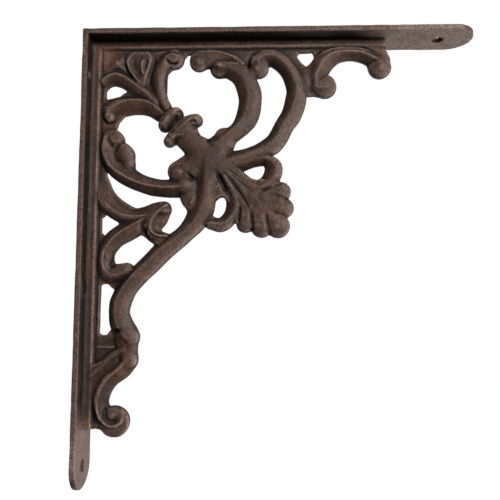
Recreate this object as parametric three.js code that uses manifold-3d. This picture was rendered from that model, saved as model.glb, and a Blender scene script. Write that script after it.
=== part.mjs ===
// A cast iron shelf bracket: an L of two flat legs with a pierced scroll web in its corner.
// Millimetres. X runs out along the shelf leg, Z is up and Y runs across the legs' width.
// The origin is the middle of the wall leg's back face.
import * as THREE from "three";
import { mergeVertices } from "three/addons/utils/BufferGeometryUtils.js";
import Module from "manifold-3d";

const wasm = await Module();
wasm.setup();

// Driving dimensions of the two legs
const WALL_LEG = 254;
const SHELF_LEG = 220;
const LEG_WIDTH = 26;
const LEG_THICKNESS = 3.2;
const SCREW_HOLE = 6.5;
const WALL_HOLE_FROM_END = 12.4;
const SHELF_HOLE_FROM_END = 19.6;

// Driving dimensions of the web: depths are measured each way from its middle plane
const BEAD_WIDTH = 4.7;
const BEAD_DEPTH = 3.1;
const BEAD_STEP = 0.5;
const GROUND_DEPTH = 1.5;
const LIMB_EDGE_DEPTH = 1.7;
const LIMB_DEPTH = 5;
const LEAF_DEPTH = 4.4;
const TRUNK_DEPTH = 6;
const RIM_DEPTH = 3.4;
const FINE_RIM_DEPTH = 2.7;
const KNOT_DEPTH = 6.4;
const NECK_DEPTH = 5.6;
const SCROLL_END_DEPTH = 4.7;
const FOOT_VOLUTE_DEPTH = 5.2;
const LOOP_DEPTH = 4;
const BACK_SHARE = 0.62;

// Shares that shape the sections
const BEAD_STEP_AT = 0.6;
const BEAD_CHAMFER = 1.4;
const EDGE_SHARE = 0.6;
const BACK_FLAT_SHARE = 0.6;
const STRAIGHT_SLOPE = 0.75;
const END_REACH = 0.72;
const END_HALF_SHARE = 0.62;
const END_DEPTH_SHARE = 0.75;
const VOLUTE_SHRINK = 0.78;
const VOLUTE_HALF = 0.3;
const VOLUTE_THINNING = 0.1;
const FINGER_SHARES = [0.4, 0.7, 1];

// How finely the round forms are drawn
const VOLUTE_STEP = 50;
const BALL_SEGMENTS = 10;
const BALL_RINGS = 6;
const OVERLAP = 0.4;

// The web is drawn on a grid with 254 units to the wall leg. A place on it is x out from the
// wall face and z down from the shelf face, so z is negative.
const unit = WALL_LEG / 254;
const shelfBeadEnd = 170.5 * unit;
const wallBeadEnd = 221.8 * unit;
const beadInner = LEG_THICKNESS - OVERLAP;
const beadOuter = LEG_THICKNESS + BEAD_WIDTH;

function solidOf(geometry) {
  geometry.deleteAttribute("normal");
  geometry.deleteAttribute("uv");
  const merged = mergeVertices(geometry, 1e-4);
  return new wasm.Manifold(
    new wasm.Mesh({
      numProp: 3,
      vertProperties: new Float32Array(merged.attributes.position.array),
      triVerts: new Uint32Array(merged.index.array),
    }),
  );
}

// A flat outline, extruded: u, v and the way it grows are three directions in space.
function slab(shape, thickness, u, v, corner) {
  const geometry = new THREE.ExtrudeGeometry(shape, {
    depth: thickness,
    bevelEnabled: false,
    curveSegments: 16,
  });
  const grow = new THREE.Vector3().crossVectors(u, v);
  geometry.applyMatrix4(new THREE.Matrix4().makeBasis(u, v, grow).setPosition(corner));
  return solidOf(geometry);
}

const ALONG_X = new THREE.Vector3(1, 0, 0);
const ALONG_Y = new THREE.Vector3(0, 1, 0);
const ALONG_Z = new THREE.Vector3(0, 0, 1);

// A leg's outline: square at the corner, half round at its free end, with one screw hole.
function legShape(length, holeFromEnd) {
  const half = LEG_WIDTH / 2;
  const shape = new THREE.Shape();
  shape.moveTo(0, -half);
  shape.lineTo(length - half, -half);
  shape.absarc(length - half, 0, half, -Math.PI / 2, Math.PI / 2, false);
  shape.lineTo(0, half);
  shape.closePath();
  const hole = new THREE.Path();
  hole.absarc(length - holeFromEnd, 0, SCREW_HOLE / 2, 0, 2 * Math.PI, true);
  shape.holes.push(hole);
  return shape;
}

function wallLeg() {
  const down = ALONG_Z.clone().negate();
  const shape = legShape(WALL_LEG, WALL_HOLE_FROM_END);
  return slab(shape, LEG_THICKNESS, down, ALONG_Y, new THREE.Vector3(0, 0, 0));
}

function shelfLeg() {
  const shape = legShape(SHELF_LEG, SHELF_HOLE_FROM_END);
  return slab(shape, LEG_THICKNESS, ALONG_X, ALONG_Y, new THREE.Vector3(0, 0, -LEG_THICKNESS));
}

// The bead's section: a raised bar with one low step and a chamfer, alike on both faces.
function beadShape() {
  const step = beadInner + BEAD_WIDTH * BEAD_STEP_AT;
  const chamfer = BEAD_STEP * BEAD_CHAMFER;
  const half = [
    [beadInner, BEAD_DEPTH],
    [step, BEAD_DEPTH],
    [step + BEAD_STEP, BEAD_DEPTH - BEAD_STEP],
    [beadOuter - chamfer, BEAD_DEPTH - BEAD_STEP],
    [beadOuter, BEAD_DEPTH - BEAD_STEP - chamfer],
  ];
  const mirrored = half.map(([out, depth]) => [out, -depth]).reverse();
  return new THREE.Shape([...half, ...mirrored].map(([out, depth]) => new THREE.Vector2(out, depth)));
}

function wallBead() {
  return slab(beadShape(), wallBeadEnd - OVERLAP, ALONG_X, ALONG_Y, new THREE.Vector3(0, 0, -wallBeadEnd));
}

function shelfBead() {
  const down = ALONG_Z.clone().negate();
  return slab(beadShape(), shelfBeadEnd - OVERLAP, down, ALONG_Y, new THREE.Vector3(OVERLAP, 0, 0));
}

// The recessed ground between the limbs, a thin plate. Its outline runs clockwise as seen
// from the front, and a hole in it runs the other way.
function ground(points, hole) {
  const onGrid = (list) => list.map(([x, z]) => new THREE.Vector2(x * unit, z * unit));
  const shape = new THREE.Shape(onGrid(points));
  if (hole) shape.holes.push(new THREE.Path(onGrid(hole)));
  return slab(shape, 2 * GROUND_DEPTH, ALONG_X, ALONG_Z, new THREE.Vector3(0, GROUND_DEPTH, 0));
}

// A limb's section across its run, as [side, depth] pairs: a crest on the front that can lie
// off centre, slopes that bulge or dish down to the edges, and a lower, plain, flat back.
function limbSection(half, depth, crest, bulge) {
  const edge = Math.min(LIMB_EDGE_DEPTH, depth * EDGE_SHARE);
  const ridge = crest * half;
  const slope = (share) => edge + (depth - edge) * share;
  const left = crest < 0 ? STRAIGHT_SLOPE : bulge;
  const right = crest < 0 ? bulge : STRAIGHT_SLOPE;
  return [
    [-half, -edge],
    [(ridge - half) / 2, -slope(left)],
    [ridge, -depth],
    [(ridge + half) / 2, -slope(right)],
    [half, -edge],
    [half * BACK_FLAT_SHARE, depth * BACK_SHARE],
    [-half * BACK_FLAT_SHARE, depth * BACK_SHARE],
  ];
}

// A limb: its points are [x, z, half width] on the grid and a smooth curve runs through them,
// with a ring at every point, or more often where steps says so. Both ends are rounded off by
// one narrower, lower ring. crest runs from the first value to the second.
function limb(points, { depth = LIMB_DEPTH, crest = [0, 0], bulge = STRAIGHT_SLOPE, steps = 1 } = {}) {
  const onGrid = points.map(([x, z, half]) => new THREE.Vector3(x, half, z).multiplyScalar(unit));
  const line = new THREE.CatmullRomCurve3(onGrid);
  const count = (points.length - 1) * steps;
  const rings = [];
  const addRing = (centre, run, half, height, share) => {
    const side = new THREE.Vector3(run.z, 0, -run.x);
    const offset = crest[0] + (crest[1] - crest[0]) * share;
    const section = limbSection(half, height, offset, bulge);
    rings.push(section.map(([s, y]) => centre.clone().addScaledVector(side, s).setY(y)));
  };
  for (let i = 0; i <= count; i += 1) {
    const share = i / count;
    const at = line.getPoint(share);
    const half = at.y;
    const centre = at.setY(0);
    const run = line.getTangent(share).setY(0).normalize();
    const pastEnd = half * END_REACH;
    const addEnd = (way) => {
      const beyond = centre.clone().addScaledVector(run, way * pastEnd);
      addRing(beyond, run, half * END_HALF_SHARE, depth * END_DEPTH_SHARE, share);
    };
    if (i === 0) addEnd(-1);
    addRing(centre, run, half, depth, share);
    if (i === count) addEnd(1);
  }
  return loft(rings);
}

// Rings of equal count joined in order, with a fan of triangles over each end.
function loft(rings) {
  const around = rings[0].length;
  const corners = rings.flat().flatMap((point) => [point.x, point.y, point.z]);
  const faces = [];
  for (let r = 0; r < rings.length - 1; r += 1) {
    for (let i = 0; i < around; i += 1) {
      const a = r * around + i;
      const b = r * around + ((i + 1) % around);
      faces.push(a, b, b + around, a, b + around, a + around);
    }
  }
  const last = (rings.length - 1) * around;
  for (let i = 1; i < around - 1; i += 1) {
    faces.push(0, i + 1, i);
    faces.push(last, last + i, last + i + 1);
  }
  const geometry = new THREE.BufferGeometry();
  geometry.setAttribute("position", new THREE.Float32BufferAttribute(corners, 3));
  geometry.setIndex(faces);
  return solidOf(geometry);
}

// A round boss, flattened front to back.
function ball(x, z, radius, depth) {
  const geometry = new THREE.SphereGeometry(1, BALL_SEGMENTS, BALL_RINGS);
  geometry.scale(radius * unit, depth, radius * unit);
  geometry.translate(x * unit, 0, z * unit);
  return solidOf(geometry);
}

// A narrow ridge that winds in to the middle of a scroll end. It starts at the angle from,
// in degrees anticlockwise from X, and turns by the angle turn while its radius shrinks.
function volute(x, z, radius, from, turn, depth) {
  const steps = Math.ceil(Math.abs(turn) / VOLUTE_STEP);
  const points = [];
  for (let i = 0; i <= steps; i += 1) {
    const angle = THREE.MathUtils.degToRad(from + (turn * i) / steps);
    const reach = radius * (1 - (VOLUTE_SHRINK * i) / steps);
    const half = radius * (VOLUTE_HALF - (VOLUTE_THINNING * i) / steps);
    points.push([x + reach * Math.cos(angle), z + reach * Math.sin(angle), half]);
  }
  return limb(points, { depth });
}

// The corner cluster: an arching scroll, three leaves that fan from it, and their ground
function cornerScrolls() {
  const window = [[12, -37], [19.5, -35.3], [23, -32], [22, -30.5], [15.5, -28.5], [11.5, -30.3],
    [10.7, -32], [10.7, -36]];
  return [
    ground(
      [[3, -3], [60, -3], [60, -10.5], [57.5, -10.8], [54, -15], [46, -22], [45, -42], [36, -45],
        [28, -44],
        [21.5, -47], [18.5, -50.5], [17, -55], [13, -63], [3, -63]],
      window,
    ),
    limb([[12.5, -47, 4], [14, -43.5, 5], [18, -41.3, 5.2], [28, -40.8, 5], [33, -41.3, 4.7],
      [38, -43.5, 4],
      [43.5, -47.5, 3.4]], { crest: [-0.4, -0.6], bulge: 0.4 }),
    ball(13, -47.6, 3.2, LEAF_DEPTH),
    limb([[9.5, -27.5, 3], [12.5, -25.3, 3.4], [16, -24.4, 3.9], [20, -25.6, 3.8], [24.5, -28.3, 4],
      [34, -34.5, 4.5],
      [40, -39.5, 4.5]], { depth: LEAF_DEPTH, crest: [-0.6, 0], bulge: 0.45 }),
    limb([[38, -38, 3], [34.5, -30, 3], [31, -23, 4.4], [29.3, -17.5, 6], [28.7, -13, 5.5]],
      { depth: LEAF_DEPTH }),
    limb([[46, -44, 3.8], [42.5, -37, 4], [41.3, -30, 4], [41.3, -24, 4.2], [43, -18.5, 4.2],
      [46, -14.5, 4.5],
      [49.5, -13, 4.6]], { depth: LEAF_DEPTH, crest: [-0.4, -0.4], bulge: 0.45 }),
    ball(50, -13.8, 5.4, LEAF_DEPTH),
    limb([[13.5, -14.5, 1], [19, -18.5, 1.3]], { depth: RIM_DEPTH }),
  ];
}

// The knot on the diagonal, its two collars and the neck that swells into the trunk
function knotAndTrunk() {
  return [
    limb([[45, -52.6, 3.8], [48, -48.5, 5], [51.5, -46.2, 4.2]], { depth: KNOT_DEPTH }),
    limb([[47.8, -61.9, 3.3], [51.5, -58, 4.2], [55.5, -54, 5], [59.5, -50.8, 4.2], [63, -49.7, 3.7]],
      { depth: TRUNK_DEPTH }),
    limb([[55.7, -56.3, 8.2], [60.5, -62.8, 6.8], [66, -68, 8.3], [73, -74, 10]],
      { depth: NECK_DEPTH }),
    ball(54.2, -80, 6.8, LIMB_DEPTH),
    ball(62, -78, 6.5, LIMB_DEPTH),
    ball(79, -59.8, 5.7, LEAF_DEPTH),
  ];
}

// The two tall scrolls that rise from the trunk to the shelf leg
function shelfwardScrolls() {
  return [
    limb([[76.3, -19, 5.2], [81, -19.5, 5.1], [88.5, -23.5, 6.3], [93, -33, 6.7], [93.6, -40, 6.5],
      [91.8, -48.5, 6.3],
      [87.5, -54.8, 5], [82, -59.5, 5], [76, -66, 8]], { crest: [0.2, 0.3] }),
    ball(75.8, -18.8, 5.3, SCROLL_END_DEPTH),
    ball(64.1, -15.8, 5.1, LEAF_DEPTH),
    limb([[64, -14, 5], [70, -13.5, 5.2], [77, -12.5, 3.5], [84, -13.5, 2.5], [89, -17, 2]],
      { depth: RIM_DEPTH, crest: [-0.4, 0] }),
    limb([[98, -16, 5], [102, -13.6, 4.8], [106.5, -13.5, 4.6], [111, -16, 4.8], [115.5, -21, 4.7],
      [118.6, -27, 5.4],
      [120, -33, 5.7], [119.2, -40, 6.1], [117.2, -46.5, 5.8], [113.4, -52.6, 5.5], [107.3, -63, 5.5],
        [99.3, -68.2, 5.1],
      [91, -71.3, 5], [82, -74, 6]], { crest: [-0.35, -0.25], bulge: 0.4 }),
    ball(98.5, -19.5, 5.7, LIMB_DEPTH),
  ];
}

// The low scroll under the shelf leg, with a round ball at each end, and the ground beside it
function shelfScroll() {
  return [
    ground([[55, -3], [171, -3], [170.5, -8.5], [166, -12], [134, -15], [130.5, -13], [129, -10],
      [121.5, -10], [120, -12.5],
      [122.5, -16], [125.5, -18.6], [128.5, -17], [133, -20], [131, -34.7], [127, -36], [118, -30],
        [114, -20], [104, -12],
      [96, -18], [92, -26], [80, -18], [60, -11]]),
    limb([[131, -31, 5], [131, -25.5, 5.5], [133, -20.5, 6], [136.3, -15.5, 5.8], [142, -12, 4.7],
      [150, -11.3, 3.6],
      [156.5, -12.2, 3.8], [162, -14.5, 4], [167.5, -19, 5.5]],
        { depth: LEAF_DEPTH, crest: [-0.3, -0.2] }),
    limb([[158, -8.5, 1.4], [168, -11.5, 3.3], [170, -15, 3.5]], { depth: FINE_RIM_DEPTH }),
    ball(135.9, -30.3, 6.8, LEAF_DEPTH),
    volute(135.9, -30.3, 5.2, 120, -250, LIMB_DEPTH),
    ball(167.2, -19.2, 6.5, LIMB_DEPTH),
  ];
}

// The scroll that mirrors the upper one, its two lobes at the wall and its leaf at the trunk
function wallwardScroll() {
  return [
    limb([[57, -88, 5.6], [50, -88.8, 5.3], [43, -88.6, 4.9], [36, -87.4, 5], [27.5, -83.6, 5.4],
      [21, -79, 6.4], [16, -73, 6.9],
      [14, -66, 6.5], [14.5, -61, 6]], { crest: [0.1, -0.5], bulge: 0.45 }),
    ball(15.5, -61.5, 6.6, LEAF_DEPTH),
    ball(22.5, -69.6, 5.7, LIMB_DEPTH),
    limb([[60, -88, 5], [59.8, -94.3, 5.3], [61.3, -98.8, 4]], { depth: LEAF_DEPTH }),
  ];
}

// The long stem that runs down from the trunk to the foot of the wall leg
function stem() {
  return limb([[69, -76, 10.5], [69, -84, 7.5], [68.3, -93, 6.5], [66.3, -101, 7.3], [63, -107.8, 6.2],
    [57.2, -114.6, 5.1],
    [51, -120, 5.4], [44.4, -125.2, 5.8], [37.9, -132, 5.7], [30.5, -139.3, 5.6], [25.3, -146, 5.4],
      [21.8, -153.5, 5.9],
    [21.5, -160, 5.8], [23.2, -166, 6.4], [26.5, -171.5, 6]], { crest: [0, 0.35] });
}

// The leaves and the small scroll between the stem and the wall leg
function wallLeaves() {
  return [
    ground([[28, -106], [42, -103], [44, -113], [42, -120], [37, -118], [32, -115], [26, -114]]),
    limb([[10, -86, 4.8], [12, -94.5, 6.3], [17, -99.8, 6.2], [23, -103.2, 5.8], [29.5, -104.7, 4.6],
      [35.5, -103.6, 4.4],
      [40.5, -101.5, 4.4], [45.3, -100.9, 4.2]], { depth: LEAF_DEPTH, crest: [0.3, 0.2], bulge: 0.5 }),
    limb([[40, -104, 4], [32, -109, 5.3], [24.5, -113.8, 5.6], [18.3, -117.3, 5.5],
      [13.5, -124.5, 4.8], [12.8, -131, 5],
      [15, -136.5, 5.5], [20, -137, 5.3], [25, -135.5, 4.5]], { depth: LEAF_DEPTH, crest: [0.3, 0.4],
        bulge: 0.5 }),
    limb([[45, -101, 4.3], [42.5, -106, 5.2], [40.2, -110.5, 4.2], [40, -115, 4.4], [45, -118.5, 4.5]],
      { depth: LEAF_DEPTH, crest: [0.3, 0.5], bulge: 0.5 }),
  ];
}

// The foot of the web: the wall-side ground, two knobs, a branch and the bottom scroll
function foot() {
  return [
    ground([[3, -55], [10, -56], [12, -79], [12.5, -82], [14, -90], [12, -104.8], [10.3, -106],
      [10.2, -114], [12, -116],
      [20, -137], [20, -147], [17, -145], [15, -142.9], [12, -142.9], [10.6, -143.8], [10.4, -170],
        [12, -171.3],
      [15, -171.2], [16.3, -169], [22, -167], [26, -172], [26, -186], [14, -200], [10, -208],
        [13, -222.3],
      [10, -221.8], [3, -222]]),
    ball(28.5, -172, 4.6, LEAF_DEPTH),
    ball(27.3, -184, 5.3, LEAF_DEPTH),
    limb([[26, -170, 6], [26, -176, 6], [26.5, -183, 5.5]], { depth: LOOP_DEPTH }),
    limb([[8, -177.5, 0.9], [19, -177.5, 0.9]], { depth: FINE_RIM_DEPTH }),
    limb([[9, -192, 2.5], [14, -187, 2.6], [20, -182.5, 2.8], [25, -180, 3]], { depth: RIM_DEPTH }),
    limb([[27, -185.5, 5.2], [22.6, -191, 5], [17, -195.2, 5], [13.3, -201, 4.9], [11.8, -208, 4.8],
      [14, -215, 5]],
      { depth: SCROLL_END_DEPTH, crest: [0.4, 0.3] }),
    ball(20.3, -217.9, 8.4, LEAF_DEPTH),
    volute(20.3, -217.9, 6.6, 180, 400, FOOT_VOLUTE_DEPTH),
  ];
}

// The fan leaf on the corner of the web: two looped limbs and five finger lobes from one root
function palmette() {
  const root = [81, -81];
  const lobes = [[110.7, -91, 5.6], [112.7, -100.3, 5.6], [109.5, -110.3, 6.7], [100.3, -111, 5.8],
    [91.3, -108.7, 5.3]];
  const fingers = lobes.map(([x, z, half]) => {
    const points = FINGER_SHARES.map((share) => [
      root[0] + (x - root[0]) * share,
      root[1] + (z - root[1]) * share,
      half * share,
    ]);
    return limb(points, { depth: LEAF_DEPTH });
  });
  return [
    ground([[70, -78], [84, -76], [92, -84], [106, -86], [112, -88], [112, -98], [108, -112],
      [92, -110], [86, -108],
      [84, -98], [80, -94], [74, -94], [71, -100]]),
    limb([[84, -77, 5], [90, -75.5, 3.4], [97, -73.3, 3.2], [103, -73, 3.3], [107, -77, 4.9],
      [106.3, -82, 5], [102.8, -86, 4],
      [99, -88.2, 3.6], [94, -87.2, 3.6], [87, -82.5, 4]], { depth: LOOP_DEPTH }),
    limb([[78, -84, 4], [83.5, -93, 4], [85, -99, 4.6], [83, -105, 4.3], [78, -109.5, 4.1],
      [72, -108.8, 3.6]],
      { depth: LOOP_DEPTH }),
    ...fingers,
  ];
}

function joined(solids) {
  return solids.reduce((whole, next) => whole.add(next));
}

function bracketGeometry() {
  const casting = joined([
    wallLeg(),
    shelfLeg(),
    wallBead(),
    shelfBead(),
    ...cornerScrolls(),
    ...knotAndTrunk(),
    ...shelfwardScrolls(),
    ...shelfScroll(),
    ...wallwardScroll(),
    stem(),
    ...wallLeaves(),
    ...foot(),
    ...palmette(),
  ]);
  const { vertProperties, triVerts } = casting.getMesh();
  const geometry = new THREE.BufferGeometry();
  geometry.setAttribute("position", new THREE.Float32BufferAttribute(vertProperties, 3));
  geometry.setIndex([...triVerts]);
  geometry.computeVertexNormals();
  return geometry;
}

const castIron = new THREE.MeshStandardMaterial({
  color: 0x4a3a33,
  roughness: 0.6,
  metalness: 0.55,
  flatShading: true,
});

const bracket = new THREE.Mesh(bracketGeometry(), castIron);
bracket.name = "bracket";
bracket.position.set(0, 0, WALL_LEG / 2);

const part = new THREE.Group();
part.add(bracket);

export default part;
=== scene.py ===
"""The looks of a cast iron shelf bracket: one cast mesh, its iron finish, stage, light and camera.

Lengths are in millimetres on the bracket's own grid. x runs out from the wall face, y is
negative towards the front, and z is measured from the shelf face, so it is negative.
"""
import math

import bpy
import numpy as np
from mathutils import Matrix, Vector


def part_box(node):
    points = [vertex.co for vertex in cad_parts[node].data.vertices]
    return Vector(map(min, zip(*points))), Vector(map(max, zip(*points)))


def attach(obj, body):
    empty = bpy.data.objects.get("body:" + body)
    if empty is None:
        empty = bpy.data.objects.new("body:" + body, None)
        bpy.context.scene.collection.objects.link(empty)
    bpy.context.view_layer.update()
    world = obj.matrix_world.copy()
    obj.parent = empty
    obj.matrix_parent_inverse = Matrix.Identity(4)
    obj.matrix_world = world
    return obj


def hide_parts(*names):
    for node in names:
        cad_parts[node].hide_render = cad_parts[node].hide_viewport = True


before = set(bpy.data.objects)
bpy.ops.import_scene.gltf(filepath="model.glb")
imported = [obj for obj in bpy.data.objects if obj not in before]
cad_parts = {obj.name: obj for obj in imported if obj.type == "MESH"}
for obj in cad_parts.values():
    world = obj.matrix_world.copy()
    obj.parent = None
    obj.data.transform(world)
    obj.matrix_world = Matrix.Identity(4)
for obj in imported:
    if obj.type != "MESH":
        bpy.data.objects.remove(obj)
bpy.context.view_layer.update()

MM = 0.001
node_low, node_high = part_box("bracket")
CORNER_Z = node_high.z / MM
WALL_LEG = (node_high.z - node_low.z) / MM
SHELF_LEG = node_high.x / MM
LEG_WIDTH = (node_high.y - node_low.y) / MM
LEG_THICKNESS = 3.2
LEG_EDGE_ROUND = 0.4
SCREW_HOLE = 6.5
WALL_HOLE_FROM_END = 12.4
SHELF_HOLE_FROM_END = 19.6

# The stepped bead along both legs
BEAD_START = 2.2
BEAD_OUTER = 7.9
BEAD_END_X = 170.5
BEAD_END_Z = -221.8
BEAD_DEPTH = 3.1
BEAD_BLEND = 0.35
BEAD_FILLET = 1.2
BEAD_FILLET_POWER = 2.5
BEAD_LINE_FROM_LEG = 2.4
BEAD_LINE_DEPTH = 0.1
BEAD_LINE_WIDTH = 0.6
BEAD_STEP_WIDTH = 0.6
BEAD_STEP_FALL = 1.5
BEAD_GROOVE_OUT = 0.7
BEAD_GROOVE_DEPTH = 0.45
BEAD_GROOVE_WIDTH = 0.5

# The web: heights are from its middle plane
WEB_FROM = 0.8
WEB_TO_X = 176.0
WEB_TO_Z = -228.0
GROUND_DEPTH = 1.5
EDGE_DEPTH = 1.3
LEAST_DEPTH = 0.7
RIM_HALF = 0.9
RIM_WIDTH = 0.9
RIM_RISE = 3.4
RIM_BLEND = 0.5
BACK_SHARE = 0.6
BACK_GROUND = 1.2
BACK_SOFTNESS = 0.8
BACK_HIGHEST = 8

# Unevenness of the casting, as height and grain size
OUTLINE_WAVES = (0.1, 5)
FRONT_WAVES = (0.06, 6)
FRONT_GRAIN = (0.03, 1.6)
BACK_WAVES = (0.1, 6)
LEG_WAVES = (0.05, 5)

WEB_STEP = 0.4
LEG_STEP = 0.5
WEB_TRIANGLES = 120000
LEG_TRIANGLES = 36000
LEG_SHARP_ANGLE = 30
LEG_SIDE_STRIP = 4
NEAREST_CUT = 0.02

# Profiles of a limb's two sides, as powers (p, q) of the height (1 - v**p)**q, where v is 0
# at the crest and 1 at the edge
ROUND = (2.0, 0.6)
SLOPE = (1.2, 0.9)
SOFT = (1.4, 1.0)
CLIFF = (1.1, 1.0)
TABLE = (2.4, 0.65)

BLEND = 0.5
PLATE_BLEND = 0.6
FILLET = 1.2
RUN_SPACING = 1.2
FAR_OUTSIDE = -50.0
NO_IRON = -5.0
FALL_OUTSIDE = 4
SHORTEST = 1e-6
THINNEST = 1e-3
LINE_LEAST_END = 0.15
# The lighter lines along thin ridges, as scuffing and painted highlights
RUB_AND_SHEEN_TAPER = 0.15
RUB_AND_SHEEN_REACH = 2
RUB_AND_SHEEN_WIDTH = 0.5

random = np.random.default_rng(11)


def unit(values):
    return np.clip(values, 0, 1)


def bell(distance, width):
    return np.exp(-(distance / width) ** 2)


def smooth_max(a, b, k):
    return np.maximum(a, b) + np.maximum(k - np.abs(a - b), 0) ** 2 / (4 * k)


def smooth_min(a, b, k):
    return np.minimum(a, b) - np.maximum(k - np.abs(a - b), 0) ** 2 / (4 * k)


def smooth_run(points):
    """A centripetal spline through the points, as rows of the same numbers."""
    given = np.array(points, float)
    if len(given) == 2:
        count = steps_between(given[0], given[1])
        share = np.linspace(0, 1, count + 1)[:, None]
        return given[0] * (1 - share) + given[1] * share
    padded = np.vstack([2 * given[0] - given[1], given, 2 * given[-1] - given[-2]])
    rows = []
    for i in range(len(given) - 1):
        a, b, c, d = padded[i:i + 4]
        ta = 0.0
        tb = ta + knot_gap(a, b)
        tc = tb + knot_gap(b, c)
        td = tc + knot_gap(c, d)
        for t in np.linspace(tb, tc, steps_between(b, c), endpoint=False):
            ab = (tb - t) / (tb - ta) * a + (t - ta) / (tb - ta) * b
            bc = (tc - t) / (tc - tb) * b + (t - tb) / (tc - tb) * c
            cd = (td - t) / (td - tc) * c + (t - tc) / (td - tc) * d
            abc = (tc - t) / (tc - ta) * ab + (t - ta) / (tc - ta) * bc
            bcd = (td - t) / (td - tb) * bc + (t - tb) / (td - tb) * cd
            rows.append((tc - t) / (tc - tb) * abc + (t - tb) / (tc - tb) * bcd)
    rows.append(given[-1])
    return np.array(rows)


def steps_between(start, end):
    return max(2, int(np.linalg.norm(end[:2] - start[:2]) / RUN_SPACING))


def knot_gap(start, end):
    return max(np.linalg.norm(end - start), SHORTEST) ** 0.5


def profile(v, powers):
    p, q = powers
    return unit(1 - v ** p) ** q


def polygon_gap(u, v, points):
    """The signed distance in from a polygon's edge."""
    corners = np.array(points, float)
    nearest = np.full(u.shape, np.inf)
    crossings = np.zeros(u.shape, int)
    for (au, av), (bu, bv) in zip(corners, np.roll(corners, -1, axis=0)):
        du, dv = bu - au, bv - av
        t = unit(((u - au) * du + (v - av) * dv) / (du * du + dv * dv))
        nearest = np.minimum(nearest, np.hypot(u - au - t * du, v - av - t * dv))
        if av != bv:
            spans = (av > v) != (bv > v)
            crossings += spans & (u < (bu - au) * (v - av) / (bv - av) + au)
    return np.where(crossings % 2 == 1, nearest, -nearest)


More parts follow.
